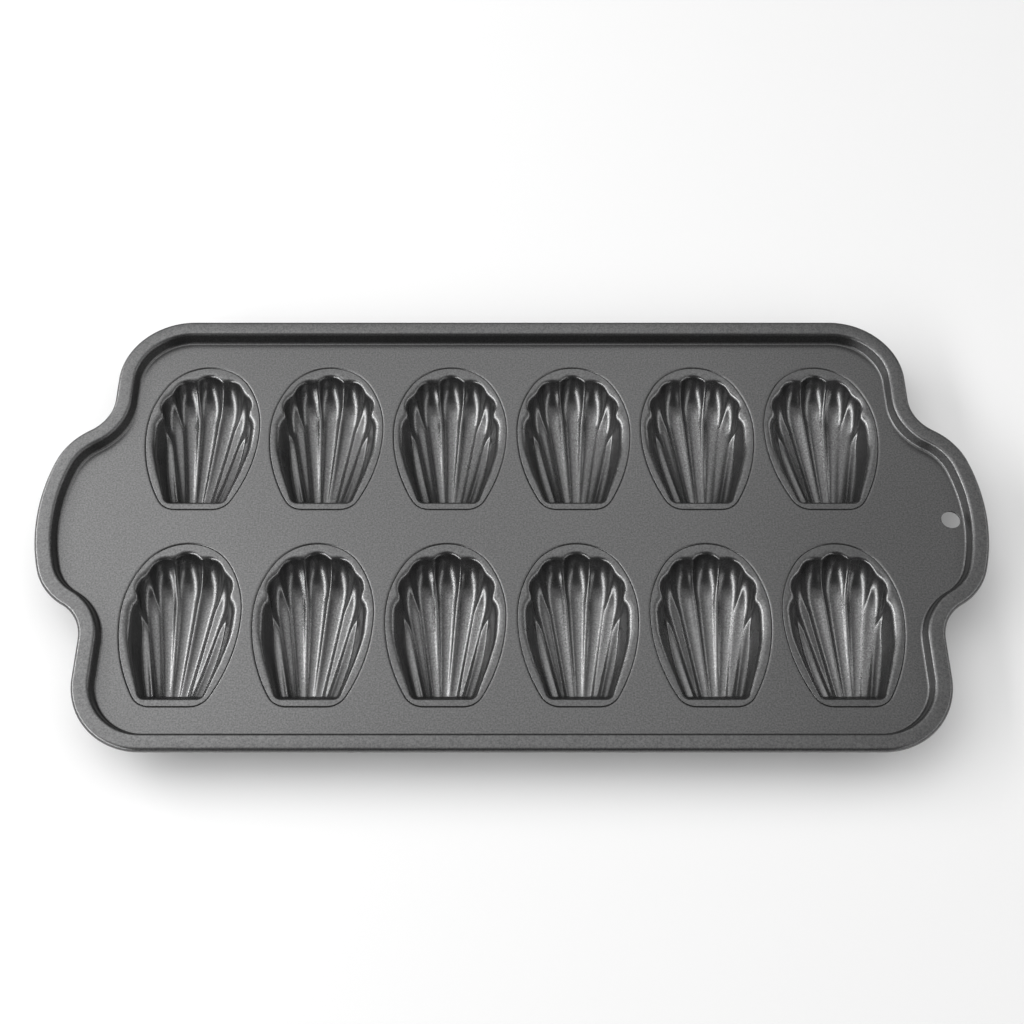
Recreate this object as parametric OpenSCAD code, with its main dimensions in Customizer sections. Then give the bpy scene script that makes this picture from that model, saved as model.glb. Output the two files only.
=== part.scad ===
/* [Pan outline] */
// Overall length over the two end tabs
pan_length = 398.4; // [394:0.2:410]
// Overall width, front to back
pan_width = 203; // [201:1:212]
// Radius of the four outer corners
corner_radius = 30.5; // [24:0.5:33]
// Distance between the centres of the two hollows beside a tab
tab_root = 114; // [112:0.5:117]
// Radius of the hollow where a tab leaves the body
hollow_radius = 18; // [17:0.5:20]
// Radius of a tab's two shoulders
shoulder_radius = 28; // [25:0.5:29]
// Angle through which each hollow turns, in degrees
tab_turn = 59.6; // [56:0.1:62]
// Angle to either side that the long curve at a tab's end takes up, in degrees
end_turn = 17.3; // [16:0.1:21]
// How far the tabs sit behind the middle of the body
tab_shift = 2.5; // [0:0.5:3]

/* [Sheet and rim] */
// Thickness of the pressed steel sheet
sheet = 0.8; // [0.6:0.1:0.9]
// Height of the rim above the deck
rim_height = 5.6; // [5.4:0.1:7]
// Width of the flat land on top of the rim, with the rolled edge
rim_land = 7.1; // [6:0.1:7.5]
// Slope of the inner wall of the rim
rim_slope = 80; // [70:1:85]
// Radius where the land turns down into the wall
rim_top_radius = 1; // [1:0.1:1.4]
// Radius where the wall runs out into the deck
rim_base_radius = 0.9; // [0.6:0.1:1.5]
// Diameter of the wire inside the rolled edge
wire_diameter = 1.4; // [1.2:0.1:3]
// Free space around the wire
wire_clearance = 0.1; // [0.05:0.05:0.2]
// How far the edge rolls round the wire, in degrees
curl_sweep = 285; // [250:5:290]

/* [Hanging hole] */
// Diameter of the hole in the right-hand tab
hole_diameter = 8; // [5:0.5:9]
// Distance of the hole's centre from the tab's end
hole_inset = 13.8; // [13.5:0.1:18]

/* [Moulds] */
// Spacing of the moulds along the pan
mould_pitch = 54; // [53.5:0.1:55.5]
// Spacing of the two rows
row_pitch = 88.8; // [88:0.1:91]
// How far the field of moulds sits in front of the pan's middle
field_shift = 0.7; // [0:0.1:2.5]
// Length of a shell from its straight heel to its tip
shell_length = 64.8; // [63:0.1:66]
// Depth of a shell at its deepest flute
shell_depth = 13; // [12:0.1:14]
// Radius of the middle flute's groove
flute_radius = 6.2; // [5.8:0.1:6.6]
// Slope of the heel wall, in degrees from upright
heel_lean = 22; // [20:1:34]
// Radius of the shell's two heel corners
heel_radius = 3; // [2:0.2:3.6]

/* [Mould seats] */
// Greatest width of a mould's flange
flange_width = 49; // [48.4:0.1:49.6]
// Flange showing beyond the shell's tip
flange_tip = 4; // [3.7:0.1:4.2]
// Flange showing beyond the shell's heel
flange_heel = 3.2; // [3:0.1:3.6]
// Depth of the flange's top below the deck
seat_drop = 0.25; // [0.1:0.05:0.5]
// Gap between the flange's edge and the wall of its seat
seat_gap = 0.25; // [0.15:0.05:0.3]
// Width of the ledge that carries the flange
ledge_width = 2; // [1.4:0.1:2.1]

/* [Hidden] */
$fn = 96;

coating = [0.30, 0.30, 0.31];
bare_steel = [0.62, 0.62, 0.63];
columns = 6;
far = 60;

// Heights above the surface that the pan stands on
flange_top = shell_depth + sheet;
deck_top = flange_top + seat_drop;
ledge_top = flange_top - sheet;
rim_top = deck_top + rim_height;

// Outline of the tray, right-hand half: each curve starts where the last one ends
half_width = pan_width / 2;
half_root = tab_root / 2;
to_shoulder = hollow_radius + shoulder_radius;
shoulder_y = half_root - to_shoulder * sin(tab_turn);
to_end = shoulder_y / sin(end_turn);
tab_end_radius = shoulder_radius + to_end;
tab_reach = hollow_radius - to_shoulder * cos(tab_turn) - to_end * cos(end_turn) + tab_end_radius;
half_body = round(20 * (pan_length / 2 - tab_reach)) / 20;
corner_at = [half_body - corner_radius, half_width - corner_radius];
hollow_at = [half_body + hollow_radius, half_root];
shoulder_at = [hollow_at[0] - to_shoulder * cos(tab_turn), shoulder_y];
end_at = [shoulder_at[0] - to_end * cos(end_turn), 0];

// Section of the rim, measured inwards from its outer edge and up from the deck
curl_radius = wire_diameter / 2 + wire_clearance + sheet;
wall_run = (rim_height - (rim_top_radius + rim_base_radius) * (1 - cos(rim_slope))) / sin(rim_slope);
wall_width = (rim_top_radius + rim_base_radius) * sin(rim_slope) + wall_run * cos(rim_slope);
rim_foot = rim_land + wall_width;
rim_lap = 3.2;

// Egg outline of a mould's flange, measured from the shell's heel: a crown, two flanks,
// two long waists and two small feet, each starting where the last one ends
crown_turn = 32;
foot_turn = 29.6;
egg_corner = 5;
egg_side = flange_width / 2;
egg_top = shell_length + flange_tip;
egg_belly = 0.557 * shell_length;
to_crown = (egg_top - egg_belly - egg_side) / (sin(crown_turn) + cos(crown_turn) - 1);
egg_crown = egg_top - egg_belly - to_crown * sin(crown_turn);
egg_flank = egg_crown + to_crown;
to_foot = (egg_belly - egg_corner + flange_heel) / sin(foot_turn);
egg_waist = egg_corner + to_foot;
crown_at = [0, egg_top - egg_crown];
flank_at = [egg_side - egg_flank, egg_belly];
waist_at = [egg_side - egg_waist, egg_belly];
foot_at = [waist_at[0] + to_foot * cos(foot_turn), egg_corner - flange_heel];
seat_lap = 1.4;

// Seven flutes: the middle one and three to each side, each a groove of round section
// that dips along one arc to its lowest point and climbs a tighter arc to the tip
size = shell_length / 66.2;
function flute_shift(k) = size * (1.34 * k * k - 1.27 * k);
function flute_fan(k) = 8.78 * k - 1.59 * k * k;
function flute_tilt(k) = 9.7 * k - 0.85 * k * k;
function flute_low(k) = size * (46.3 - 2.24 * k - 1.01 * k * k);
function flute_depth(k) = shell_depth - 0.08 * k - 0.7 * k * k;
function flute_climb(k) = size * (15.4 + 2.14 * k);
flute_run = 355 * size;
flute_throat = 0.95 * flute_radius;
flute_head = 12;
climb_turn = 80;
flute_back = 9.2;

function arc(c, r, a0, a1, step) =
    let (n = ceil(abs(a1 - a0) / step))
    [for (i = [0:n]) let (a = a0 + (a1 - a0) * i / n) [c[0] + r * cos(a), c[1] + r * sin(a)]];
function flip(points) = [for (i = [len(points) - 1:-1:0]) [-points[i][0], points[i][1]]];
function shifted(points, dy) = [for (p = points) [p[0], p[1] + dy]];

// Right-hand half of the tray's outline, drawn in by the given inset
function tray_side(inset) = concat(
    arc([corner_at[0], -corner_at[1]], corner_radius - inset, -90, 0, 6),
    shifted(arc([hollow_at[0], -half_root], hollow_radius + inset, 180, 180 - tab_turn, 6), tab_shift),
    shifted(arc([shoulder_at[0], -shoulder_at[1]], shoulder_radius - inset, -tab_turn, -end_turn, 6), tab_shift),
    shifted(arc(end_at, tab_end_radius - inset, -end_turn, end_turn, 3), tab_shift),
    shifted(arc(shoulder_at, shoulder_radius - inset, end_turn, tab_turn, 6), tab_shift),
    shifted(arc(hollow_at, hollow_radius + inset, 180 + tab_turn, 180, 6), tab_shift),
    arc(corner_at, corner_radius - inset, 0, 90, 6));

// Right-hand half of the egg outline, let out by the given amount
function egg_half(out) = concat(
    arc(foot_at, egg_corner + out, -90, -foot_turn, 10),
    arc(waist_at, egg_waist + out, -foot_turn, 0, 3),
    arc(flank_at, egg_flank + out, 0, crown_turn, 4),
    arc(crown_at, egg_crown + out, crown_turn, 90, 6));

module egg(out) {
    polygon(concat(egg_half(out), flip(egg_half(out))));
}

// Moves in two steps, so that neighbouring curves still meet once the numbers are rounded
module place(v) {
    coarse = [for (x = v) round(100 * x) / 100];
    translate(coarse)
        translate(v - coarse)
            children();
}

// One bend of a swept section, whose outer edge is at the given radius
module bend(c, r, a0, a1) {
    place([c[0], c[1], 0])
        rotate_extrude(angle = a1 - a0, start = a0)
            place([r, 0])
                children();
}

// One bend the other way, with the section's outer edge nearest to the centre
module hollow_bend(c, r, a0, a1) {
    place([c[0], c[1], 0])
        rotate_extrude(angle = a1 - a0, start = a0)
            place([r, 0])
                mirror([1, 0, 0])
                    children();
}

// One straight run of a swept section, with its outer side on the left
module run(start, turn, length) {
    place([start[0], start[1], 0])
        rotate([0, 0, turn])
            rotate([90, 0, 90])
                linear_extrude(length)
                    children();
}

module both_ends() {
    children();
    mirror([1, 0, 0])
        children();
}

// A section carried all the way round the tray's outline
module round_tray() {
    run([-corner_at[0], half_width], 0, 2 * corner_at[0])
        children();
    run([corner_at[0], -half_width], 180, 2 * corner_at[0])
        children();
    both_ends() {
        bend(corner_at, corner_radius, 0, 90)
            children();
        bend([corner_at[0], -corner_at[1]], corner_radius, -90, 0)
            children();
        run([half_body, corner_at[1]], -90, corner_at[1] - half_root - tab_shift)
            children();
        run([half_body, tab_shift - half_root], -90, corner_at[1] - half_root + tab_shift)
            children();
        translate([0, tab_shift, 0]) {
            hollow_bend(hollow_at, hollow_radius, 180, 180 + tab_turn)
                children();
            bend(shoulder_at, shoulder_radius, end_turn, tab_turn)
                children();
            bend(end_at, tab_end_radius, -end_turn, end_turn)
                children();
            bend([shoulder_at[0], -shoulder_at[1]], shoulder_radius, -tab_turn, -end_turn)
                children();
            hollow_bend([hollow_at[0], -half_root], hollow_radius, 180 - tab_turn, 180)
                children();
        }
    }
}

// A section carried all the way round a mould's flange
module round_egg(out) {
    bend(crown_at, egg_crown + out, crown_turn, 180 - crown_turn)
        children();
    both_ends() {
        run([foot_at[0], -flange_heel - out], 180, ceil(foot_at[0] + 1))
            children();
        bend(foot_at, egg_corner + out, -90, -foot_turn)
            children();
        bend(waist_at, egg_waist + out, -foot_turn, 0)
            children();
        bend(flank_at, egg_flank + out, 0, crown_turn)
            children();
    }
}

module at_moulds() {
    for (row = [0, 1])
        for (column = [0:columns - 1])
            translate(mould_at(row, column))
                children();
}

// Where a mould's heel sits, row 0 at the front and row 1 at the back
function mould_at(row, column) =
    [(column - (columns - 1) / 2) * mould_pitch,
     (row - 0.5) * row_pitch - field_shift - (egg_top - flange_heel) / 2,
     0];

// Section of the pressed sheet from the deck over the rim and round the wire
module rim_section() {
    wall_top = [-rim_land, rim_height - rim_top_radius];
    wall_base = [-rim_foot, rim_base_radius];
    curl = [-curl_radius, rim_height - curl_radius];
    polygon(concat(
        [[-rim_foot - rim_lap, 0]],
        arc(wall_base, rim_base_radius, 270, 270 + rim_slope, 27),
        arc(wall_top, rim_top_radius, 90 + rim_slope, 90, 27),
        arc(curl, curl_radius, 90, 90 - curl_sweep, 24),
        arc(curl, curl_radius - sheet, 90 - curl_sweep, 90, 36),
        arc(wall_top, rim_top_radius - sheet, 90, 90 + rim_slope, 45),
        arc(wall_base, rim_base_radius + sheet, 270 + rim_slope, 270, 27),
        [[-rim_foot - rim_lap, -sheet]]));
}

// Section of the step that lets a flange down into the deck
module seat_section() {
    drop = seat_drop + sheet;
    polygon([
        [seat_lap, 0],
        [0, 0],
        [0, -drop],
        [-ledge_width, -drop],
        [-ledge_width, -drop - sheet],
        [sheet, -drop - sheet],
        [sheet, -sheet],
        [seat_lap, -sheet]]);
}

module deck_plate() {
    outline = tray_side(rim_foot + rim_lap / 2);
    difference() {
        translate([0, 0, -sheet])
            linear_extrude(sheet)
                polygon(concat(outline, flip(outline)));
        at_moulds()
            translate([0, 0, -3 * sheet])
                linear_extrude(6 * sheet)
                    egg(seat_gap + (sheet + seat_lap) / 2);
    }
}

module tray() {
    color(coating)
        translate([0, 0, deck_top])
            difference() {
                union() {
                    deck_plate();
                    round_tray()
                        rim_section();
                    at_moulds()
                        round_egg(seat_gap)
                            seat_section();
                }
                translate([pan_length / 2 - hole_inset, tab_shift, -3 * sheet])
                    cylinder(d = hole_diameter, h = 6 * sheet);
            }
}

module rim_wire() {
    color(bare_steel)
        translate([0, 0, rim_top - curl_radius])
            round_tray()
                polygon(arc([-curl_radius, 0], wire_diameter / 2, 0, 345, 15));
}

// Groove of one flute, open upwards; grow gives the outside of the sheet
module flute_section(grow) {
    circle(r = flute_radius + grow);
    translate([-flute_head, -flute_throat - grow])
        square([flute_head, 2 * (flute_throat + grow)]);
}

module flute(k, side, grow) {
    climb = flute_climb(k);
    deep = flute_depth(k) - flute_radius;
    translate([side * flute_shift(k), 0, 0])
        rotate([0, 0, -side * flute_fan(k)])
            rotate([0, -side * flute_tilt(k), 0])
                place([0, flute_low(k), -deep]) {
                    place([0, 0, climb])
                        rotate([0, 90, 0])
                            rotate_extrude(angle = climb_turn)
                                place([climb, 0])
                                    flute_section(grow);
                    place([0, 0, flute_run])
                        rotate([0, 90, 0])
                            rotate_extrude(angle = flute_back, start = -flute_back)
                                place([flute_run, 0])
                                    flute_section(grow);
                }
}

module flutes(grow) {
    flute(0, 1, grow);
    for (k = [1:3])
        for (side = [-1, 1])
            flute(k, side, grow);
}

// Leaning block that ends the flutes at the heel wall, with two round corners
module heel_block(grow) {
    heel_side = 0.216 * shell_length;
    spread = 23.5;
    corner = [heel_side - heel_radius, heel_radius];
    right = concat(
        arc(corner, heel_radius + grow, -90, -spread, 11),
        [[corner[0] + (heel_radius + grow) * cos(spread) + far * tan(spread), far]]);
    rotate([heel_lean, 0, 0])
        translate([0, 0, -far])
            linear_extrude(2 * far)
                polygon(concat(right, flip(right)));
}

module mould() {
    color(coating)
        translate([0, 0, flange_top])
            difference() {
                union() {
                    round_egg(0)
                        translate([-ledge_width, -sheet])
                            square([ledge_width, sheet]);
                    translate([0, 0, -sheet])
                        linear_extrude(sheet)
                            egg(-ledge_width / 2);
                    intersection() {
                        flutes(sheet);
                        heel_block(sheet);
                        translate([-far, -far, -far - sheet / 2])
                            cube([2 * far, 3 * far, far]);
                    }
                }
                intersection() {
                    flutes(0);
                    heel_block(0);
                }
            }
}

tray();
rim_wire();
translate(mould_at(1, 0)) mould();  // mould_back_1
translate(mould_at(1, 1)) mould();  // mould_back_2
translate(mould_at(1, 2)) mould();  // mould_back_3
translate(mould_at(1, 3)) mould();  // mould_back_4
translate(mould_at(1, 4)) mould();  // mould_back_5
translate(mould_at(1, 5)) mould();  // mould_back_6
translate(mould_at(0, 0)) mould();  // mould_front_1
translate(mould_at(0, 1)) mould();  // mould_front_2
translate(mould_at(0, 2)) mould();  // mould_front_3
translate(mould_at(0, 3)) mould();  // mould_front_4
translate(mould_at(0, 4)) mould();  // mould_front_5
translate(mould_at(0, 5)) mould();  // mould_front_6
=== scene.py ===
import logging
import math
from dataclasses import dataclass, field
from enum import Enum
from typing import ClassVar

import bmesh
import bpy
import numpy as np
from mathutils import Matrix, Vector


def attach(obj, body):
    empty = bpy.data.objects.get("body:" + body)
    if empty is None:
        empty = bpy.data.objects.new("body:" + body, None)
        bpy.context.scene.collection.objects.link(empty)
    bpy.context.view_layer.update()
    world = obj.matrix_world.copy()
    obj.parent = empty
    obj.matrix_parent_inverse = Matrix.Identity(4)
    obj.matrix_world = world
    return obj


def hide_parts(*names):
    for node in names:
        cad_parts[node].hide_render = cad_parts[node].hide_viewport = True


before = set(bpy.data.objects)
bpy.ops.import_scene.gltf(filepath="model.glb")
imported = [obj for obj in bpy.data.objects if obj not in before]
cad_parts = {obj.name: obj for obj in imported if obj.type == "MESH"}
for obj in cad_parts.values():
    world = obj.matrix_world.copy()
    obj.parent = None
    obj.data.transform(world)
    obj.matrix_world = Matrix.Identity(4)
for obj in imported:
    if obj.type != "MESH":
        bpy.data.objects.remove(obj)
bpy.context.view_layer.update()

LOG = logging.getLogger("madeleine_pan")
MM = 0.001  # metres in a millimetre
WELD = 2e-6  # metres; vertices that are closer become one
SLIVER = 1e-7  # metres; edges that are shorter go
SEAM = 1e-6  # metres; mirrored vertices this close to the middle become one
SAME = 1e-6  # an outline's points or directions that differ by less are the same

Colour = tuple[float, float, float]
Point = tuple[float, float, float]
Section = list[tuple[float, float]]
OutlinePoint = tuple[float, float, float, float]


class Row(Enum):
    """The two rows of shells, named as the CAD nodes name them."""

    BACK = "back"
    FRONT = "front"


class Side(Enum):
    """Which face of the pressed sheet a surface belongs to, as a share of its thickness."""

    INSIDE = 0.0
    OUTSIDE = 1.0


# Outlines


@dataclass(frozen=True)
class Bend:
    """One arc of an outline, in millimetres and degrees.

    Attributes:
        x: Centre, to the right.
        y: Centre, to the back.
        radius: Radius.
        start: Angle where it starts.
        stop: Angle where it stops.
        hollow: Whether the metal lies outside the arc.
    """

    x: float
    y: float
    radius: float
    start: float
    stop: float
    hollow: bool = False

    def walk(self, step: float) -> list[OutlinePoint]:
        """Samples the arc.

        Args:
            step: Longest chord, in millimetres.

        Returns:
            Points with their outward directions, as (x, y, nx, ny).
        """
        turn = math.radians(abs(self.stop - self.start))
        count = max(2, math.ceil(self.radius * turn / step))
        way = -1.0 if self.hollow else 1.0
        out = []
        for i in range(count + 1):
            a = math.radians(self.start + (self.stop - self.start) * i / count)
            c, s = math.cos(a), math.sin(a)
            out.append((self.x + self.radius * c, self.y + self.radius * s, way * c, way * s))
        return out


class Outline:
    """A smooth closed outline, as points and outward directions.

    It can be let out, drawn in, and followed by a section.
    """

    LONG_GAP: ClassVar[float] = 1.6  # chords; a wider gap is a straight run

    def __init__(self, right_half: list[Bend], step: float, straight: float) -> None:
        """Walks the right-hand half from bottom to top and mirrors it.

        Args:
            right_half: Bends in order, from the bottom of the outline to its top.
            step: Longest chord on a bend, in millimetres.
            straight: Longest step on a straight run, in millimetres.
        """
        half: list[OutlinePoint] = []
        for bend in right_half:
            for point in bend.walk(step):
                if not half or math.dist(half[-1][:2], point[:2]) >= SAME:
                    half.append(point)
        whole = half + [(-x, y, -nx, ny) for x, y, nx, ny in reversed(half)]
        points: list[OutlinePoint] = []
        for here, there in zip(whole, whole[1:] + whole[:1]):
            points.append(here)
            gap = math.dist(here[:2], there[:2])
            turned = abs(here[2] - there[2]) + abs(here[3] - there[3])
            if gap > self.LONG_GAP * step and turned < SAME:
                count = math.ceil(gap / straight)
                for i in range(1, count):
                    points.append(tuple(a + (b - a) * i / count for a, b in zip(here, there)))
        kept = [p for i, p in enumerate(points) if math.dist(p[:2], points[i - 1][:2]) > SAME]
        self.points = np.array(kept)

    def carry(self, section: Section, at: Point = (0.0, 0.0, 0.0)) -> np.ndarray:
        """Carries an open section all the way round the outline.

        Args:
            section: Pairs of distance outwards and height, in millimetres.
            at: Where the outline's own origin is put, in millimetres.

        Returns:
            Array of ring, point and x, y, z, each ring ending where it starts.
        """
        rings = []
        for out, height in section:
            xy = self.points[:, :2] + out * self.points[:, 2:]
            ring = np.column_stack([xy, np.full(len(xy), height)])
            rings.append(np.vstack([ring, ring[:1]]) + at)
        return np.array(rings)


def arc_section(x: float, z: float, radius: float, start: float, stop: float,
                count: int) -> Section:
    """Points of an arc in a sheet's section.

    Args:
        x: Centre, measured outwards.
        z: Centre height.
        radius: Radius of the arc.
        start: First angle in degrees.
        stop: Last angle in degrees.
        count: Number of steps.

    Returns:
        Pairs of outward distance and height.
    """
    out = []
    for i in range(count + 1):
        a = math.radians(start + (stop - start) * i / count)
        out.append((x + radius * math.cos(a), z + radius * math.sin(a)))
    return out


def loft(bm: bmesh.types.BMesh, rings: np.ndarray) -> None:
    """Lays a grid over rings of points; finish_mesh welds its seams later.

    Args:
        bm: Mesh that takes the new faces.
        rings: Array of ring, point and x, y, z, in millimetres.
    """
    rows, columns = rings.shape[0] - 1, rings.shape[1] - 1
    made = bmesh.ops.create_grid(bm, x_segments=columns, y_segments=rows, size=1.0)["verts"]
    for vert in made:
        i = round((vert.co.y + 1) / 2 * rows)
        j = round((vert.co.x + 1) / 2 * columns)
        vert.co = rings[i, j] * MM


def finish_mesh(bm: bmesh.types.BMesh, name: str, sharp: float = 38.0) -> bpy.types.Mesh:
    """Welds, turns outwards and shades a finished mesh.

    Args:
        bm: Mesh to finish; it is freed.
        name: Name of the mesh.
        sharp: Edges that turn more than this many degrees stay crisp.

    Returns:
        The finished mesh.
    """
    bmesh.ops.remove_doubles(bm, verts=bm.verts, dist=WELD)
    bmesh.ops.dissolve_degenerate(bm, edges=bm.edges, dist=SLIVER)
    bmesh.ops.recalc_face_normals(bm, faces=bm.faces)
    mesh = bpy.data.meshes.new(name)
    bm.to_mesh(mesh)
    bm.free()
    mesh.shade_smooth()
    mesh.set_sharp_from_angle(angle=math.radians(sharp))
    return mesh


# Finishes


@dataclass(frozen=True)
class SprayedSkin:
    """Shared effect of a sprayed and baked skin: speckle, slow mottling and orange peel.

    Attributes:
        speckle: Scale and detail of the fine speckle in the colour.
        mottle: Scale and detail of the slow drift in the roughness.
        peel: Scale and detail of the orange peel.
        noise_range: Range of the noise that the speckle uses.
        tone_range: Darkest and lightest speckle, as shares of the colour.
        drift: Most that the roughness moves either way.
    """

    name: str = "sprayed_skin"
    speckle: tuple[float, float] = (1500.0, 2.0)
    mottle: tuple[float, float] = (35.0, 3.0)
    peel: tuple[float, float] = (700.0, 1.0)
    noise_range: tuple[float, float] = (0.3, 0.7)
    tone_range: tuple[float, float] = (0.74, 1.26)
    drift: float = 0.03

    def group(self) -> bpy.types.NodeTree:
        """Gives the node group.

        Returns:
            The group, made on the first call.
        """
        old = bpy.data.node_groups.get(self.name)
        if old:
            return old
        tree = bpy.data.node_groups.new(self.name, "ShaderNodeTree")
        for socket, way, kind in (("Place", "INPUT", "Vector"), ("Colour", "INPUT", "Color"),
                                  ("Roughness", "INPUT", "Float"),
                                  ("Colour", "OUTPUT", "Color"),
                                  ("Roughness", "OUTPUT", "Float"),
                                  ("Height", "OUTPUT", "Float")):
            tree.interface.new_socket(socket, in_out=way, socket_type="NodeSocket" + kind)
        nodes, links = tree.nodes, tree.links
        enter, leave = nodes.new("NodeGroupInput"), nodes.new("NodeGroupOutput")
        noises = []
        for scale, detail in (self.speckle, self.mottle, self.peel):
            noise = nodes.new("ShaderNodeTexNoise")
            noise.inputs["Scale"].default_value = scale
            noise.inputs["Detail"].default_value = detail
            links.new(enter.outputs["Place"], noise.inputs["Vector"])
            noises.append(noise.outputs["Fac"])
        speckle, mottle, peel = noises
        tone = self.remap(tree, speckle, self.noise_range, self.tone_range)
        tint = nodes.new("ShaderNodeVectorMath")
        tint.operation = "SCALE"
        links.new(enter.outputs["Colour"], tint.inputs[0])
        links.new(tone, tint.inputs["Scale"])
        links.new(tint.outputs["Vector"], leave.inputs["Colour"])
        drift = self.remap(tree, mottle, (0.0, 1.0), (-self.drift, self.drift))
        rough = nodes.new("ShaderNodeMath")
        rough.operation = "ADD"
        links.new(enter.outputs["Roughness"], rough.inputs[0])
        links.new(drift, rough.inputs[1])
        links.new(rough.outputs["Value"], leave.inputs["Roughness"])
        links.new(peel, leave.inputs["Height"])
        return tree

    @staticmethod
    def remap(tree: bpy.types.NodeTree, value: bpy.types.NodeSocket,
              source: tuple[float, float],
              target: tuple[float, float]) -> bpy.types.NodeSocket:
        """Stretches one range of a value over another.

        Args:
            tree: Node group that takes the new node.
            value: Value to stretch.
            source: Range that it comes from.
            target: Range that it goes to.

        Returns:
            The stretched value.
        """
        node = tree.nodes.new("ShaderNodeMapRange")
        node.inputs["From Min"].default_value, node.inputs["From Max"].default_value = source
        node.inputs["To Min"].default_value, node.inputs["To Max"].default_value = target
        tree.links.new(value, node.inputs["Value"])
        return node.outputs["Result"]


@dataclass(frozen=True)
class Finish:
    """A metal whose colour and roughness vary with the sprayed skin."""

    name: str
    colour: Colour
    metallic: float
    roughness: float

    def make(self) -> bpy.types.Material:
        """Builds the material.

        Returns:
            The finish as a node material, with the skin in its node "skin".
        """
        mat = bpy.data.materials.new(self.name)
        mat.use_nodes = True
        nodes, links = mat.node_tree.nodes, mat.node_tree.links
        shader = nodes["Principled BSDF"]
        shader.inputs["Metallic"].default_value = self.metallic
        place = nodes.new("ShaderNodeTexCoord")
        skin = nodes.new("ShaderNodeGroup")
        skin.name = "skin"
        skin.node_tree = SprayedSkin().group()
        skin.inputs["Colour"].default_value = (*self.colour, 1.0)
        skin.inputs["Roughness"].default_value = self.roughness
        links.new(place.outputs["Object"], skin.inputs["Place"])
        links.new(skin.outputs["Colour"], shader.inputs["Base Color"])
        links.new(skin.outputs["Roughness"], shader.inputs["Roughness"])
        return mat


@dataclass(frozen=True)
class DrawnSteel(Finish):
    """Bare drawn wire inside the rolled rim."""

    name: str = "wire_steel"
    colour: Colour = (0.42, 0.42, 0.43)
    metallic: float = 1.0
    roughness: float = 0.34


@dataclass(frozen=True)
class Coating(Finish):
    """Dark satin non-stick coating: a metallic grey with fine speckle and orange peel.

    Attributes:
        peel_strength: Strength of the orange peel.
        peel_height: Its height, in metres.
    """

    name: str = "tray_coating"
    colour: Colour = (0.148, 0.148, 0.1485)
    metallic: float = 0.9
    roughness: float = 0.3
    peel_strength: float = 0.35
    peel_height: float = 0.00003

    def make(self) -> bpy.types.Material:
        """Builds the material and gives it the skin's orange peel.

        Returns:
            The coating as a node material.
        """
        mat = super().make()
        nodes, links = mat.node_tree.nodes, mat.node_tree.links
        bump = nodes.new("ShaderNodeBump")
        bump.inputs["Strength"].default_value = self.peel_strength
        bump.inputs["Distance"].default_value = self.peel_height
        links.new(nodes["skin"].outputs["Height"], bump.inputs["Height"])
        links.new(bump.outputs["Normal"], nodes["Principled BSDF"].inputs["Normal"])
        return mat


# Shell moulds


def soft_join(a: np.ndarray, b: np.ndarray, reach: float | np.ndarray) -> np.ndarray:
    """Joins two hollows with a rounded ridge between them.

    Args:
        a: Distance to the first hollow, negative inside it.
        b: Distance to the second.
        reach: Width of the rounding, in millimetres.

    Returns:
        Distance to the joined hollow.
    """
    h = np.maximum(reach - np.abs(a - b), 0.0) / reach
    return np.minimum(a, b) - h ** 3 * reach / 6


@dataclass(frozen=True)
class Flute:
    """One groove of the shell, on the right-hand side, in millimetres and degrees.

    Attributes:
        shift: How far right of the middle it leaves the heel.
        fan: Angle by which it fans out.
        tilt: Angle by which it leans outwards.
        low: Distance of its lowest point from the heel.
        depth: Depth of that point.
        climb: Radius of its bottom line beyond that point, up to the tip.
        run: Radius of its bottom line between the heel and that point.
        flare: Angle by which its walls open above its round bottom.
    """

    shift: float
    fan: float
    tilt: float
    low: float
    depth: float
    climb: float
    run: float
    flare: float = 0.0


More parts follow.
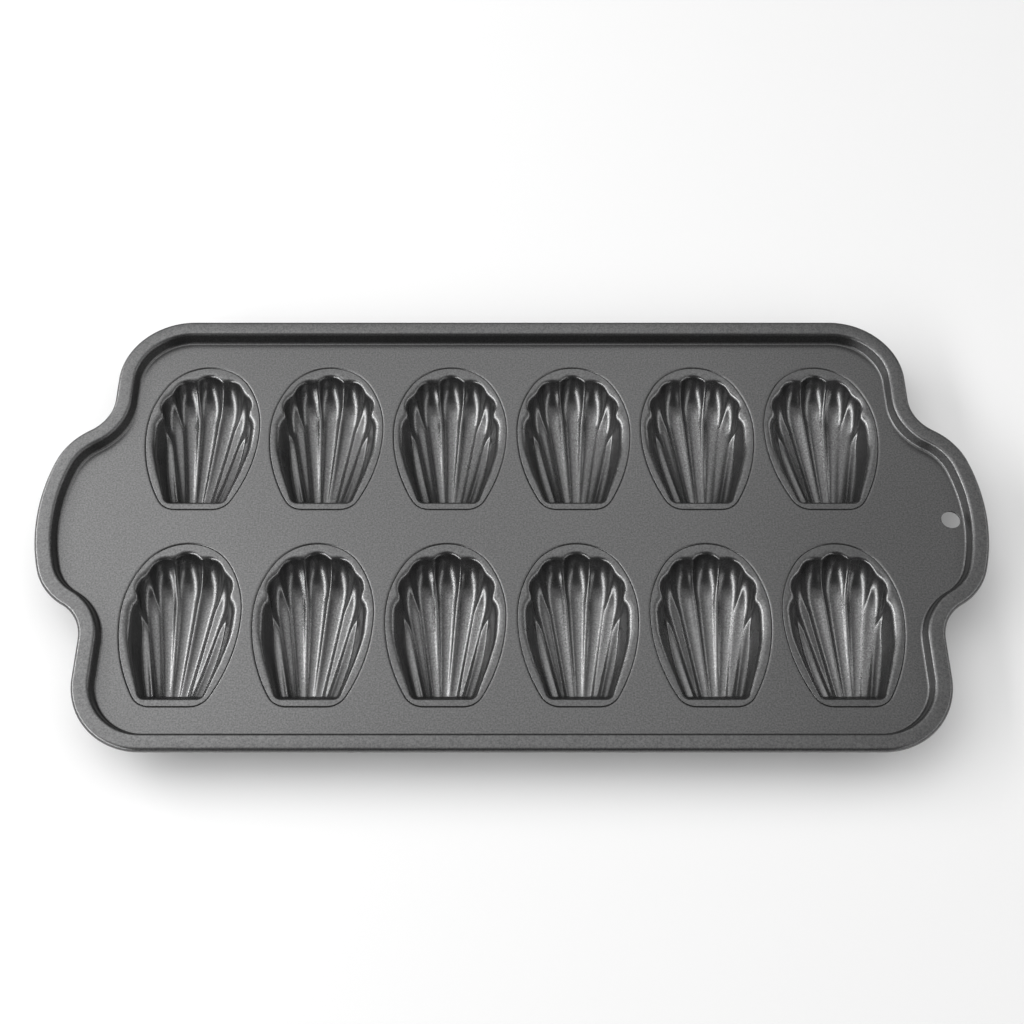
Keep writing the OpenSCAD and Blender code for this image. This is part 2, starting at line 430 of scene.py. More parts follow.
@dataclass(frozen=True)
class ShellMould:
    """One fluted cup with its egg-shaped flange, pressed from one sheet.

    Sizes are in millimetres and degrees. x runs to the right from the shell's middle, y to
    the back from its heel, and z up from the flange's top.
    """

    length: float = 64.8
    depth: float = 13.0
    sheet: float = 0.8
    # Flange
    flange_width: float = 49.0
    flange_tip: float = 4.0
    flange_heel: float = 3.2
    flange_foot: float = 8.5
    crown_turn: float = 32.0
    foot_turn: float = 29.6
    belly_share: float = 0.557  # of the length
    edge_round: float = 0.18
    # Flutes
    flute_radius: float = 6.2
    flute_heel: float = 0.36  # of the radius, at the heel
    flute_full: float = 0.85  # of the length, where the radius is whole
    flute_growth: float = 1.2  # power by which it grows up to there
    ridge_round: float = 1.6
    cusp_round: float = 4.4
    cusp_share: float = 0.55  # of the depth, over which ridges turn rounder upwards
    # Heel wall
    heel_lean: float = 22.0
    heel_radius: float = 3.0
    heel_share: float = 0.206  # of the length, for half its width
    heel_spread: float = 17.0
    heel_round: float = 1.2
    # Side walls
    flank_radius: float = 95.0
    flank_half: float = 21.0
    flank_lean: float = 24.5
    flank_belly: float = 38.0
    flank_squeeze: float = 3.0  # times more sharply bent beyond the belly
    crease_round: float = 0.9
    # Lip
    lip_round: float = 2.4
    lip_heel: float = 0.32  # of the rounding, at the heel
    lip_rise: float = 16.0  # way from the heel over which it grows to the whole
    lip_fade: float = 0.52  # of the rounding, lost at the tip
    lip_full: float = 48.0  # place from which it is lost
    lip_fall: float = 12.0  # way over which it is lost
    # Mesh
    columns: int = 240
    inside_rows: int = 90
    outside_rows: int = 34
    flange_rows: int = 3
    lip_rows: int = 8
    lip_band: float = 2.6  # way past the flange that has close rows
    border: float = 0.45  # strip of the flange outside the first ring
    spine_start: float = 12.0  # where the rings close, along the middle
    spine_run: float = 42.0
    samples: int = 700  # places at which a line from flange to spine is measured
    halvings: int = 24  # of the span in which a height is searched

    FLUTES_DRAWN: ClassVar[float] = 66.2  # shell length at which the flutes were drawn
    FLANKS_DRAWN: ClassVar[float] = 64.8098  # and the side walls
    FLAT: ClassVar[float] = 0.0004  # a surface this far below the flange has left it
    LEVEL_RINGS: ClassVar[int] = 2  # rings nearest the edge, which are flat
    BELOW: ClassVar[float] = 2.0  # margins of the span in which a height is searched
    ABOVE: ClassVar[float] = 0.5
    FINE: ClassVar[float] = 0.02  # chord at which the egg is measured
    # Quarter of a unit circle, as distance inwards and drop, for the flange's upper edge
    EDGE_ARC: ClassVar[Section] = [(1.0, 0.0), (0.62, 0.08), (0.29, 0.29), (0.08, 0.62),
                                   (0.0, 1.0)]

    def egg(self) -> list[Bend]:
        """Right-hand half of the flange's egg outline, from the heel to the tip.

        Returns:
            Foot, waist, flank and crown.
        """
        corner = self.flange_foot
        side = self.flange_width / 2
        top = self.length + self.flange_tip
        belly = self.belly_share * self.length
        turn = math.radians(self.crown_turn)
        cosine, sine = math.cos(turn), math.sin(turn)
        to_crown = (top - belly - side) / (sine + cosine - 1)
        crown = top - belly - to_crown * sine
        flank = crown + to_crown
        foot_turn = math.radians(self.foot_turn)
        to_foot = (belly - corner + self.flange_heel) / math.sin(foot_turn)
        waist = corner + to_foot
        foot_x = side - waist + to_foot * math.cos(foot_turn)
        return [Bend(foot_x, corner - self.flange_heel, corner, -90, -self.foot_turn),
                Bend(side - waist, belly, waist, -self.foot_turn, 0),
                Bend(side - flank, belly, flank, 0, self.crown_turn),
                Bend(0, top - crown, crown, self.crown_turn, 90)]

    def flutes(self) -> list[Flute]:
        """The middle flute and the three on its right.

        Returns:
            The flutes, from the middle outwards.
        """
        s, d = self.length / self.FLUTES_DRAWN, self.depth
        return [Flute(shift=0.0, fan=0.0, tilt=0.0,
                      low=s * 49.0, depth=d, climb=s * 17.8, run=s * 361),
                Flute(shift=s * 2.4, fan=6.6, tilt=4.0,
                      low=s * 46.5, depth=d - 0.7, climb=s * 18.6, run=s * 361),
                Flute(shift=s * 3.8, fan=10.9, tilt=12.0,
                      low=s * 41.9, depth=d - 2.4, climb=s * 17.8, run=s * 306),
                Flute(shift=s * 9.2, fan=10.9, tilt=12.0,
                      low=s * 32.7, depth=d - 4.0, climb=s * 13.5, run=s * 149, flare=42.0)]

    def groove(self, flute: Flute, side: float, x: np.ndarray, y: np.ndarray,
               z: np.ndarray) -> np.ndarray:
        """Distance to one flute.

        Its bottom line dips along a long arc and climbs a tight one, and then goes straight
        up. Its section is round below its own radius and has straight walls above.

        Args:
            flute: The flute.
            side: 1 for the right-hand side, -1 for the left.
            x: Places asked for.
            y: Places asked for.
            z: Heights asked for.

        Returns:
            Distances, negative in the groove.
        """
        fan, tilt = math.radians(flute.fan), math.radians(flute.tilt)
        px = side * x - flute.shift
        across = px * math.cos(fan) - y * math.sin(fan)
        along = px * math.sin(fan) + y * math.cos(fan) - flute.low
        up = -across * math.sin(tilt) + z * math.cos(tilt) + flute.depth
        across = np.abs(across * math.cos(tilt) + z * math.sin(tilt))
        grown = np.clip(y / (self.flute_full * self.length), 0.0, 1.0) ** self.flute_growth
        radius = self.flute_radius * (self.flute_heel + (1 - self.flute_heel) * grown)
        bend = np.where(along > 0, flute.climb, flute.run)
        above = bend - np.hypot(along, up - bend)
        above = np.where(up > bend, np.maximum(above, bend - np.abs(along)), above)
        flare = math.tan(math.radians(flute.flare))
        wall = across - radius - flare * (above - radius)
        return np.where(above < radius, np.hypot(radius - above, across) - radius, wall)

    def flank(self, side: float, x: np.ndarray, y: np.ndarray, z: np.ndarray) -> np.ndarray:
        """Distance to the leaning side wall, a wide cone that trims the outer flute.

        Args:
            side: 1 for the right-hand side, -1 for the left.
            x: Places asked for.
            y: Places asked for.
            z: Heights asked for.

        Returns:
            Distances, negative on the shell's side of the wall.
        """
        s, lean = self.length / self.FLANKS_DRAWN, math.radians(self.flank_lean)
        py = y - s * self.flank_belly
        py = np.where(py > 0, self.flank_squeeze * py, py)
        reach = np.hypot(side * x + self.flank_radius - s * self.flank_half, py)
        return (reach - self.flank_radius - z * math.tan(lean)) * math.cos(lean)

    def heel(self, x: np.ndarray, y: np.ndarray, z: np.ndarray) -> np.ndarray:
        """Distance to the leaning block that ends the flutes at the heel.

        Args:
            x: Places asked for.
            y: Places asked for.
            z: Heights asked for.

        Returns:
            Distances, negative on the shell's side of the heel wall.
        """
        lean, spread = math.radians(self.heel_lean), math.radians(self.heel_spread)
        px = np.abs(x) - (self.heel_share * self.length - self.heel_radius)
        py = y * math.cos(lean) + z * math.sin(lean) - self.heel_radius
        wall = px * math.cos(spread) - py * math.sin(spread)
        in_corner = (px > 0) & (wall > 0) & (py < -px * math.tan(spread))
        walls = np.where(in_corner, np.hypot(px, py), np.maximum(-py, wall))
        return walls - self.heel_radius

    def lip(self, y: np.ndarray) -> np.ndarray:
        """Rounding of the lip, which is sharper at the heel and at the tip.

        Args:
            y: Places asked for.

        Returns:
            Radii.
        """
        grown = np.clip(y / self.lip_rise, 0.0, 1.0)
        faded = np.clip((y - self.lip_full) / self.lip_fall, 0.0, 1.0)
        radius = self.lip_round * (self.lip_heel + (1 - self.lip_heel) * grown)
        return radius * (1.0 - self.lip_fade * faded)

    def hollow(self, x: np.ndarray, y: np.ndarray, z: np.ndarray) -> np.ndarray:
        """Distance to the air above the pressed sheet, with every edge rounded.

        The ridges between the flutes are rounder near the top, where they end in the cusps
        of the shell's outline.

        Args:
            x: Places asked for.
            y: Places asked for.
            z: Heights asked for.

        Returns:
            Distances, negative in the air.
        """
        middle, *others = self.flutes()
        grown = np.clip(1.0 + z / (self.cusp_share * self.depth), 0.0, 1.0)
        reach = self.ridge_round + (self.cusp_round - self.ridge_round) * grown
        cup = self.groove(middle, 1.0, x, y, z)
        for flute in others:
            for side in (1.0, -1.0):
                groove = self.groove(flute, side, x, y, z)
                if flute is others[-1]:
                    flank = self.flank(side, x, y, z)
                    groove = -soft_join(-groove, -flank, self.crease_round)
                cup = soft_join(cup, groove, reach)
        cup = -soft_join(-cup, -self.heel(x, y, z), self.heel_round)
        r = self.lip(y)
        near = np.hypot(np.maximum(r + z, 0.0), np.maximum(r - cup, 0.0))
        return np.maximum(r, np.minimum(-z, cup)) - near

    def floor(self, x: np.ndarray, y: np.ndarray, side: Side) -> np.ndarray:
        """Height of the sheet's surface over given places.

        Args:
            x: Places asked for.
            y: Places asked for.
            side: Face of the sheet.

        Returns:
            Heights, found by halving a span that holds the whole cup.
        """
        level = side.value * self.sheet
        low, high = np.full(x.shape, -self.depth - self.BELOW), np.full(x.shape, self.ABOVE)
        for _ in range(self.halvings):
            middle = (low + high) / 2
            solid = self.hollow(x, y, middle) > level
            low = np.where(solid, middle, low)
            high = np.where(solid, high, middle)
        return (low + high) / 2

    def half_outline(self) -> np.ndarray:
        """Even points along the right-hand half of the egg.

        Returns:
            Rows of x, y and outward direction.
        """
        walk = [(0.0, -self.flange_heel, 0.0, -1.0)]
        for bend in self.egg():
            walk += bend.walk(self.FINE)
        walk = np.array(walk)
        steps = np.hypot(*np.diff(walk[:, :2], axis=0).T)
        along = np.concatenate([[0.0], np.cumsum(steps)])
        wanted = np.linspace(0.0, along[-1], self.columns + 1)
        out = np.column_stack([np.interp(wanted, along, walk[:, i]) for i in range(4)])
        out[0, 0] = out[-1, 0] = 0.0
        return out

    @staticmethod
    def drawn_in(edge: np.ndarray, distance: float) -> np.ndarray:
        """The half outline drawn in, with both its ends kept on the middle.

        Args:
            edge: Rows of x, y and outward direction.
            distance: How far to draw it in.

        Returns:
            Rows of x and y.
        """
        ring = edge[:, :2] - distance * edge[:, 2:]
        ring[0, 0] = ring[-1, 0] = 0.0
        return ring

    def rows_over(self, lip: float, total: float, side: Side) -> np.ndarray:
        """Where the rings cross one line from the flange to the spine.

        Args:
            lip: Distance along the line at which the flange ends.
            total: Length of the line.
            side: Face of the sheet; the inside has rows close together over the lip.

        Returns:
            Distances along the line.
        """
        if side is Side.OUTSIDE:
            flange = np.linspace(0.0, lip, self.flange_rows)[:-1]
            rest = self.outside_rows - len(flange)
            return np.concatenate([flange, np.linspace(lip, total, rest)])
        flange = np.linspace(0.0, lip, self.flange_rows + 1)[:-1]
        turn = np.linspace(lip, lip + self.lip_band, self.lip_rows + 1)[:-1]
        rest = self.inside_rows - len(flange) - len(turn)
        return np.concatenate([flange, turn, np.linspace(lip + self.lip_band, total, rest)])

    def surface(self, side: Side) -> np.ndarray:
        """Rings of the sheet's face, from near the flange's edge to the shell's spine.

        Args:
            side: Face of the sheet.

        Returns:
            Array of ring, point and x, y, z.
        """
        edge = self.half_outline()
        turn = (1 - np.cos(np.linspace(0.0, math.pi, len(edge)))) / 2
        spine = np.column_stack([np.zeros(len(edge)), self.spine_start + self.spine_run * turn])
        start = self.drawn_in(edge, self.border)
        share = np.linspace(0.0, 1.0, self.samples)
        x = start[:, :1] + share * (spine[:, :1] - start[:, :1])
        y = start[:, 1:] + share * (spine[:, 1:] - start[:, 1:])
        z = self.floor(x, y, side)
        steps = np.sqrt(np.diff(x) ** 2 + np.diff(y) ** 2 + np.diff(z) ** 2)
        along = np.concatenate([np.zeros((len(edge), 1)), np.cumsum(steps, axis=1)], axis=1)
        level = -side.value * self.sheet
        rings = []
        for i in range(len(edge)):
            lip = along[i, np.argmax(z[i] < level - self.FLAT)]
            wanted = self.rows_over(lip, along[i, -1], side)
            at = np.interp(wanted, along[i], share)
            rings.append(start[i] + at[:, None] * (spine[i] - start[i]))
        plan = np.array(rings).transpose(1, 0, 2)
        height = self.floor(plan[..., 0], plan[..., 1], side)
        height[:self.LEVEL_RINGS] = level
        return np.dstack([plan, height])

    def build(self) -> bpy.types.Mesh:
        """Builds the cup with its heel at the origin and its flange's top at height 0.

        Returns:
            The mesh, in metres.
        """
        edge = self.half_outline()
        border = []
        profile = [(self.edge_round * a, -self.edge_round * b) for a, b in self.EDGE_ARC]
        for inwards, height in profile + [(0.0, -self.sheet)]:
            ring = self.drawn_in(edge, inwards)
            border.append(np.column_stack([ring, np.full(len(ring), height)]))
        inside, outside = self.surface(Side.INSIDE), self.surface(Side.OUTSIDE)
        bm = bmesh.new()
        loft(bm, np.concatenate([inside[::-1], np.array(border), outside]))
        bmesh.ops.mirror(bm, geom=bm.verts[:] + bm.edges[:] + bm.faces[:], axis="X",
                         merge_dist=SEAM)
        return finish_mesh(bm, "shell_mould")


# The tray


@dataclass(frozen=True)
class PanLayout:
    """Outline of the pan and where its moulds sit, in millimetres and degrees.

    Attributes:
        length: Whole length, over both tabs.
        width: Whole width.
        corner: Radius of the body's corners.
        tab_root: Width of a tab where it leaves the body.
        hollow: Radius of the hollow between body and tab.
        shoulder: Radius of a tab's shoulder.
        tab_turn: Angle through which a hollow turns.
        end_turn: Half the angle of the arc that ends a tab.
        tab_shift: How far the tabs sit behind the middle.
        mould_pitch: Distance between moulds in a row.
        row_pitch: Distance between the rows.
        field_shift: How far the moulds sit in front of the middle.
        columns: Moulds in a row.
        flange_top: Height of the moulds' flanges.
        seat_drop: How far a flange lies below the deck.
        rim_height: Height of the rim above the deck.
        sheet: Thickness of the tray's sheet.
        straight_step: Longest step on a straight run of the outline.
    """

    length: float = 398.4
    width: float = 203.0
    corner: float = 30.5
    tab_root: float = 114.0
    hollow: float = 18.0
    shoulder: float = 28.0
    tab_turn: float = 59.6
    end_turn: float = 17.3
    tab_shift: float = 2.5
    mould_pitch: float = 54.0
    row_pitch: float = 88.8
    field_shift: float = 0.7
    columns: int = 6
    flange_top: float = 13.8
    seat_drop: float = 0.25
    rim_height: float = 5.6
    sheet: float = 0.8
    straight_step: float = 6.0

    BODY_STEPS: ClassVar[int] = 20  # to a millimetre, for rounding the body's half length

    @property
    def deck_top(self) -> float:
        """Height of the deck above the surface that the pan stands on."""
        return self.flange_top + self.seat_drop

    def outline(self, step: float = 1.2) -> Outline:
        """The pan's outer outline.

        Args:
            step: Longest chord on a bend.

        Returns:
            The closed outline.
        """
        turn, end = math.radians(self.tab_turn), math.radians(self.end_turn)
        half_root = self.tab_root / 2
        to_shoulder = self.hollow + self.shoulder
        shoulder_y = half_root - to_shoulder * math.sin(turn)
        to_end = shoulder_y / math.sin(end)
        end_radius = self.shoulder + to_end
        reach = (self.hollow - to_shoulder * math.cos(turn) - to_end * math.cos(end)
                 + end_radius)
        body = round(self.BODY_STEPS * (self.length / 2 - reach)) / self.BODY_STEPS
        corner_x, corner_y = body - self.corner, self.width / 2 - self.corner
        hollow_x = body + self.hollow
        shoulder_x = hollow_x - to_shoulder * math.cos(turn)
        end_x = shoulder_x - to_end * math.cos(end)
        t = self.tab_shift
        return Outline([
            Bend(corner_x, -corner_y, self.corner, -90, 0),
            Bend(hollow_x, t - half_root, self.hollow, 180, 180 - self.tab_turn, True),
            Bend(shoulder_x, t - shoulder_y, self.shoulder, -self.tab_turn, -self.end_turn),
            Bend(end_x, t, end_radius, -self.end_turn, self.end_turn),
            Bend(shoulder_x, t + shoulder_y, self.shoulder, self.end_turn, self.tab_turn),
            Bend(hollow_x, t + half_root, self.hollow, 180 + self.tab_turn, 180, True),
            Bend(corner_x, corner_y, self.corner, 0, 90)], step, self.straight_step)

    def mould_at(self, row: Row, column: int) -> tuple[float, float]:
        """Where a mould's heel sits.

        Args:
            row: Front or back row.
            column: Column from the left, from 0.

        Returns:
            x and y.
        """
        mould = ShellMould()
        across = (column - (self.columns - 1) / 2) * self.mould_pitch
        step = 0.5 if row is Row.BACK else -0.5
        middle = (mould.length + mould.flange_tip - mould.flange_heel) / 2
        return across, step * self.row_pitch - self.field_shift - middle


@dataclass
class Tray:
    """Pressed tray: deck, seats for the moulds, rim rolled round a wire, and hanging hole.

    Sizes are in millimetres and degrees.

    Attributes:
        layout: The pan's outline and places.
        rim_land: Width from the pan's edge to the inside of the rim's flat top.
        rim_slope: Slope of the rim's inner wall.
        rim_margin: Flat strip inside the rim's foot.
        top_radius: Rounding between the rim's top and its wall.
        base_radius: Rounding between the wall and the deck.
        curl_radius: Outer radius of the rolled edge.
        curl_sweep: Angle through which it is rolled.
        curl_width: Share of its width that is built, to stay inside the CAD box.
        seat_gap: Gap round a flange.
        seat_round: Rounding of a seat's edge.
        seat_margin: Flat strip round a seat.
        seat_step: Longest step on a seat's outline.
        ledge: Width of the ledge under a flange.
        hole_radius: Radius of the hanging hole.
        hole_inset: Its distance from the pan's end.
        hole_step: Longest step on its edge.
        bore_round: Rounding of its edge.
        bore_margin: Flat strip round it on the deck.
        bore_skirt: Flat strip round it underneath.
    """

    layout: PanLayout = field(default_factory=PanLayout)
    rim_land: float = 5.8
    rim_slope: float = 80.0
    rim_margin: float = 0.1
    top_radius: float = 1.7
    base_radius: float = 1.1
    curl_radius: float = 1.6
    curl_sweep: float = 285.0
    curl_width: float = 0.992
    seat_gap: float = 0.08
    seat_round: float = 0.75
    seat_margin: float = 0.5
    seat_step: float = 1.2
    ledge: float = 2.0
    hole_radius: float = 4.0
    hole_inset: float = 13.8
    hole_step: float = 0.4
    bore_round: float = 0.18
    bore_margin: float = 0.2
    bore_skirt: float = 0.3

    LEVEL: ClassVar[float] = 1e-3  # edges this near to a height belong to it

    def rim_section(self) -> Section:
        """The sheet's section over the rim and round the wire, and back on its underside.

        Returns:
            Pairs of outward distance from the outer edge and height above the deck.
        """
        sheet, high, slope = self.layout.sheet, self.layout.rim_height, self.rim_slope
        land, top, base = self.rim_land, self.top_radius, self.base_radius
        curl = self.curl_radius
        lean = math.radians(slope)
        bends = top + base
        run = (high - bends * (1 - math.cos(lean))) / math.sin(lean)
        foot = land + bends * math.sin(lean) + run * math.cos(lean)
        section = [(-foot - self.rim_margin, 0.0)]
        section += arc_section(-foot, base, base, 270, 270 + slope, count=8)
        section += arc_section(-land, high - top, top, 90 + slope, 90, count=9)
        section += [(-0.5 * (land + curl), high)]
        end = 90 - self.curl_sweep
        rolled = arc_section(-curl, high - curl, curl, 90, end, count=30)
        section += [(-curl + (x + curl) * self.curl_width, z) for x, z in rolled]
        section += arc_section(-curl, high - curl, curl - sheet, end, 90, count=18)
        section += arc_section(-land, high - top, top - sheet, 90, 90 + slope, count=5)
        section += arc_section(-foot, base, base + sheet, 270 + slope, 270, count=6)
        section += [(-foot - self.rim_margin, -sheet)]
        return section

    def seat_section(self) -> Section:
        """Section of the step that lets a flange down into the deck, top side first.

        Returns:
            Pairs of distance outwards from the flange's edge and height above the deck.
        """
        sheet, r, wall = self.layout.sheet, self.seat_round, self.seat_gap
        drop = self.layout.seat_drop + sheet
        section = [(wall + r + self.seat_margin, 0.0)]
        section += arc_section(wall + r, -r, r, 90, 180, count=4)
        section += [(wall, -drop), (wall - self.ledge, -drop),
                    (wall - self.ledge, -drop - sheet), (wall + sheet, -drop - sheet),
                    (wall + sheet, -sheet), (wall + r + sheet + self.seat_margin, -sheet)]
        return section

    def bore_section(self) -> Section:
        """Section of the hanging hole's edge, top side first.

        Returns:
            Pairs of distance outwards from the bore and height above the deck.
        """
        sheet, r = self.layout.sheet, self.bore_round
        return ([(self.bore_margin, 0.0)] + arc_section(r, -r, r, 90, 180, count=3)
                + [(0.0, -sheet), (self.bore_skirt, -sheet)])

    def fill(self, bm: bmesh.types.BMesh, height: float) -> None:
        """Fills the flat sheet between all open edges at one height.

        Args:
            bm: Mesh with the open edges.
            height: Height of the flat, in millimetres.
        """
        rim = [e for e in bm.edges if e.is_boundary
               and all(abs(v.co.z / MM - height) < self.LEVEL for v in e.verts)]
        bmesh.ops.triangle_fill(bm, edges=rim, use_beauty=True, normal=(0, 0, 1))

    def build(self) -> bpy.types.Mesh:
        """Builds the tray.

        Returns:
            The mesh, in metres.
        """
        bm = bmesh.new()
        layout, deck = self.layout, self.layout.deck_top
        loft(bm, layout.outline().carry(self.rim_section(), (0.0, 0.0, deck)))
        seat = Outline(ShellMould().egg(), self.seat_step, self.seat_step)
        for row in Row:
            for column in range(layout.columns):
                at = (*layout.mould_at(row, column), deck)
                loft(bm, seat.carry(self.seat_section(), at))
        half_hole = [Bend(0, 0, self.hole_radius, -90, 90)]
        hole = Outline(half_hole, self.hole_step, self.hole_step)
        at = (layout.length / 2 - self.hole_inset, layout.tab_shift, deck)
        loft(bm, hole.carry(self.bore_section(), at))
        bmesh.ops.remove_doubles(bm, verts=bm.verts, dist=WELD)
        for height in (deck, deck - layout.sheet):
            self.fill(bm, height)
        return finish_mesh(bm, "pressed_tray")


@dataclass(frozen=True)
class RimWire:
    """Round wire that the rim is rolled round, in millimetres."""

    layout: PanLayout = field(default_factory=PanLayout)
    diameter: float = 1.4
    curl_radius: float = 1.6
    step: float = 2.4
    sides: int = 16

    def build(self) -> bpy.types.Mesh:
        """Builds the wire as one closed ring.

        Returns:
            The mesh, in metres.
        """
        bm = bmesh.new()
        height = self.layout.deck_top + self.layout.rim_height - self.curl_radius
        section = arc_section(-self.curl_radius, height, self.diameter / 2, 0, 360, self.sides)
        loft(bm, self.layout.outline(self.step).carry(section))
        return finish_mesh(bm, "rim_wire")


# The studio


@dataclass(frozen=True)
class SoftLamp:
    """One soft rectangular lamp, in metres and watts.

    Attributes:
        name: Name of the lamp.
        at: Its place.
        size: Its two side lengths.
        watts: Its power.
        aim: Point that it faces.
    """

    name: str
    at: Point
    size: tuple[float, float]
    watts: float
    aim: Point

    def hang(self) -> None:
        """Hangs the lamp in the scene."""
        data = bpy.data.lights.new(self.name, "AREA")
        data.shape = "RECTANGLE"
        data.size, data.size_y = self.size
        data.energy = self.watts
        lamp = bpy.data.objects.new(self.name, data)
        bpy.context.scene.collection.objects.link(lamp)
        lamp.location = self.at
        facing = Vector(self.aim) - Vector(self.at)
        lamp.rotation_euler = facing.to_track_quat("-Z", "Y").to_euler()


@dataclass
class Studio:
    """White floor, soft lamps and the camera at the photograph's place.

    Attributes:
        camera_at: Place of the camera, in metres.
        camera_down: How many degrees it looks down.
        lens: Its focal length, in millimetres.
        sensor: Its width, in millimetres.
        camera_shift: Its sideways shift, as a share of the picture.
        camera_near: Nearest distance that it sees, in metres.
        floor_half: Half the floor's width, in metres.
        floor_white: Brightness of the floor's colour.
        floor_roughness: Roughness of the floor.
        floor_shine: How strongly the floor mirrors.
        floor_glow: Brightness that the floor adds where it is seen.
        painted_shade_reach: Distance within which the floor's glow fades towards the pan,
            painting its shadow there, in metres.
        surround: Brightness of the surround as a light.
        backdrop: Its brightness where it is seen directly.
        lamps: The lamps.
    """

    camera_at: Point = (0.0, -0.28396, 0.5417)
    camera_down: float = 61.2
    lens: float = 50.0
    sensor: float = 36.0
    camera_shift: float = 0.0002
    camera_near: float = 0.01
    floor_half: float = 3.0
    floor_white: float = 0.8
    floor_roughness: float = 0.9
    floor_shine: float = 0.1
    floor_glow: float = 0.2
    painted_shade_reach: float = 0.03
    surround: float = 0.07
    backdrop: float = 0.9
    lamps: tuple[SoftLamp, ...] = (
        SoftLamp("left_strip", (-1.04, -0.4, 0.68), (2.6, 0.28), 18.5, (0.0, -0.4, 0.0)),
        SoftLamp("right_strip", (1.04, -0.4, 0.68), (2.6, 0.28), 5.0, (0.0, -0.4, 0.0)),
        SoftLamp("left_sheet", (-0.95, 0.6, 1.15), (1.0, 1.4), 3.6, (-0.6, 0.3, 0.0)),
        SoftLamp("middle_sheet", (-0.45, 0.6, 1.25), (1.6, 1.4), 3.7, (-0.45, 0.3, 0.0)),
        SoftLamp("overhead", (0.1, 0.25, 1.35), (2.4, 1.8), 6.0, (0.1, 0.25, 0.0)),
        SoftLamp("far_sheet", (-0.3, 1.15, 1.2), (2.2, 0.7), 1.5, (-0.3, 0.8, 0.0)))

    @staticmethod
    def seen_by(tree: bpy.types.NodeTree, *rays: str) -> bpy.types.NodeSocket:
        """Mask of some kinds of ray.

        Args:
            tree: Nodes of the floor's material or of the world.
            rays: Outputs of the Light Path node.

        Returns:
            A value of 1 for these rays and 0 for all others.
        """
        path = tree.nodes.new("ShaderNodeLightPath")
        seen = path.outputs[rays[0]]
        for ray in rays[1:]:
            either = tree.nodes.new("ShaderNodeMath")
            either.operation = "MAXIMUM"
            tree.links.new(seen, either.inputs[0])
            tree.links.new(path.outputs[ray], either.inputs[1])
            seen = either.outputs["Value"]
        return seen

    def floor(self) -> None:
        """Lays the floor, which glows where it is seen; close to the pan the glow fades in a
        painted shadow.
        """
        bm = bmesh.new()
        bmesh.ops.create_grid(bm, x_segments=1, y_segments=1, size=self.floor_half)
        mesh = bpy.data.meshes.new("studio_floor")
        bm.to_mesh(mesh)
        bm.free()
        floor = bpy.data.objects.new("studio_floor", mesh)
        bpy.context.scene.collection.objects.link(floor)
        mat = bpy.data.materials.new("studio_floor")
        mat.use_nodes = True
        nodes, links = mat.node_tree.nodes, mat.node_tree.links
        shader = nodes["Principled BSDF"]
        white = self.floor_white
        shader.inputs["Base Color"].default_value = (white, white, white, 1)
        shader.inputs["Roughness"].default_value = self.floor_roughness
        shader.inputs["Specular IOR Level"].default_value = self.floor_shine
        glow = nodes.new("ShaderNodeMath")
        glow.operation = "MULTIPLY"
        glow.inputs[1].default_value = self.floor_glow
        seen = self.seen_by(mat.node_tree, "Is Camera Ray", "Is Glossy Ray",
                            "Is Transmission Ray")
        links.new(seen, glow.inputs[0])
        links.new(glow.outputs["Value"], shader.inputs["Emission Strength"])
        # Painted shade: ambient occlusion darkens the floor's glow under and round the pan.
        near = nodes.new("ShaderNodeAmbientOcclusion")
        near.inputs["Distance"].default_value = self.painted_shade_reach
        links.new(near.outputs["Color"], shader.inputs["Emission Color"])
        mesh.materials.append(mat)

    def world(self) -> None:
        """Sets an even white surround, dim as light and pale where it is seen directly."""
        world = bpy.data.worlds.new("studio")
        world.use_nodes = True
        nodes, links = world.node_tree.nodes, world.node_tree.links
        nodes["Background"].inputs["Color"].default_value = (1, 1, 1, 1)
        level = nodes.new("ShaderNodeMath")
        level.operation = "MULTIPLY_ADD"
        level.inputs[1].default_value = self.backdrop - self.surround
        level.inputs[2].default_value = self.surround
        seen = self.seen_by(world.node_tree, "Is Camera Ray", "Is Transmission Ray")
        links.new(seen, level.inputs[0])
        links.new(level.outputs["Value"], nodes["Background"].inputs["Strength"])
        bpy.context.scene.world = world

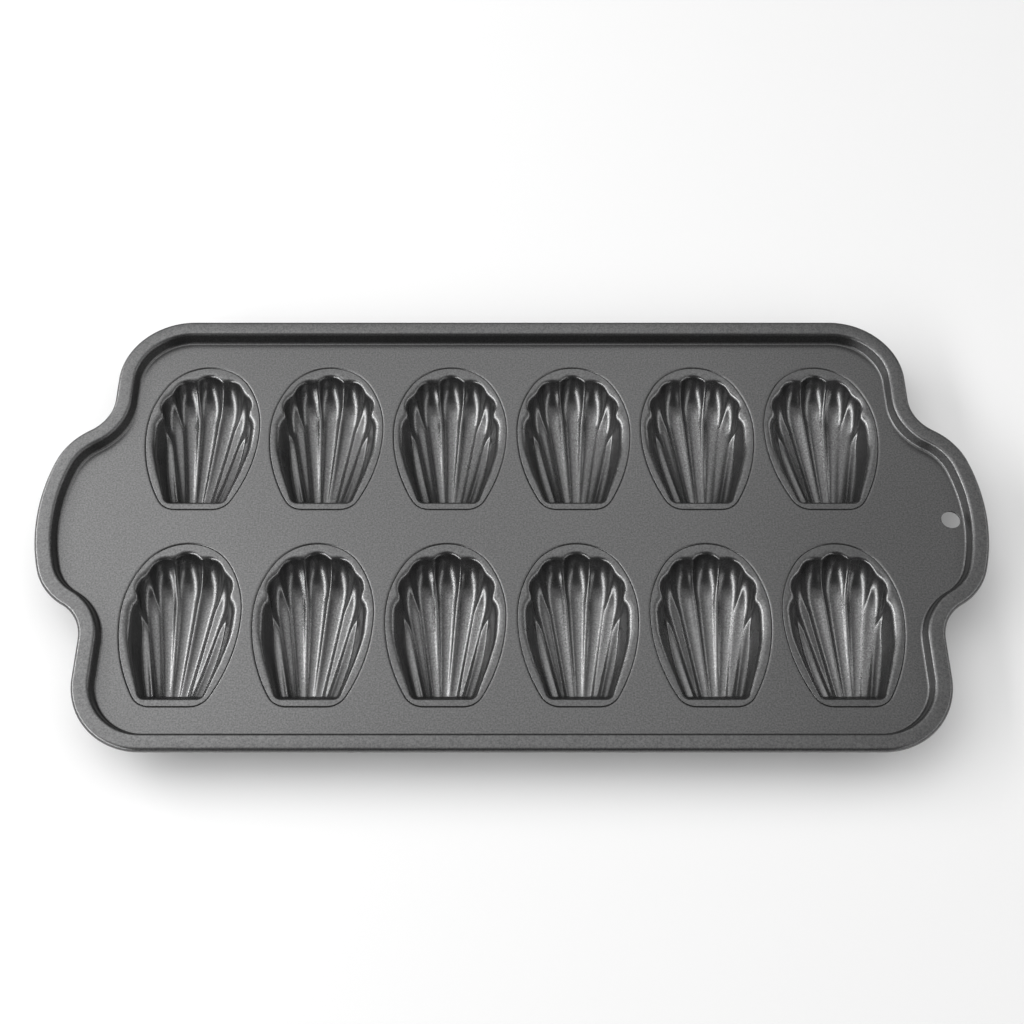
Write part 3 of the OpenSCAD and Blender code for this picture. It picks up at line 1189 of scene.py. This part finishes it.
    def camera(self) -> None:
        """Stands the camera where the photograph was taken from."""
        data = bpy.data.cameras.new("camera")
        data.lens, data.sensor_width = self.lens, self.sensor
        data.shift_x = self.camera_shift
        data.clip_start = self.camera_near
        camera = bpy.data.objects.new("camera", data)
        camera.location = self.camera_at
        camera.rotation_euler = (math.radians(90 - self.camera_down), 0, 0)
        bpy.context.scene.collection.objects.link(camera)
        bpy.context.scene.camera = camera

    def build(self) -> None:
        """Sets up the whole studio."""
        self.camera()
        self.floor()
        self.world()
        for lamp in self.lamps:
            lamp.hang()
        bpy.context.scene.view_settings.view_transform = "Standard"


# The pan


@dataclass
class MadeleinePan:
    """The whole pan, made of the same pieces as the CAD model."""

    layout: PanLayout = field(default_factory=PanLayout)
    mould_roughness: float = 0.27

    def add(self, mesh: bpy.types.Mesh, node: str, slot: str,
            material: bpy.types.Material) -> None:
        """Puts a finished mesh in place of its CAD node.

        Args:
            mesh: Mesh with its place in its vertices.
            node: CAD node that it stands for.
            slot: Material slot of the record; not used.
            material: Finish of the piece.
        """
        mesh.materials.append(material)
        piece = bpy.data.objects.new("pan_" + node, mesh)
        bpy.context.scene.collection.objects.link(piece)
        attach(piece, "root")
        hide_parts(node)
        LOG.info("%s: %d faces", piece.name, len(mesh.polygons))

    def build(self) -> None:
        """Builds the tray, the wire and the moulds."""
        tray_coat = Coating().make()
        mould_coat = Coating("mould_coating", roughness=self.mould_roughness).make()
        self.add(Tray().build(), "tray", "tray_coating", tray_coat)
        self.add(RimWire().build(), "rim_wire", "wire_steel", DrawnSteel().make())
        cup = ShellMould().build()
        for row in Row:
            for column in range(self.layout.columns):
                x, y = self.layout.mould_at(row, column)
                at = (x * MM, y * MM, self.layout.flange_top * MM)
                mesh = cup.copy()
                mesh.transform(Matrix.Translation(at))
                self.add(mesh, f"mould_{row.value}_{column + 1}", "mould_coating", mould_coat)
        bpy.data.meshes.remove(cup)


def main() -> None:
    """Builds the studio and the pan."""
    logging.basicConfig(level=logging.INFO, format="%(message)s")
    Studio().build()
    MadeleinePan().build()


if __name__ == "__main__":
    main()
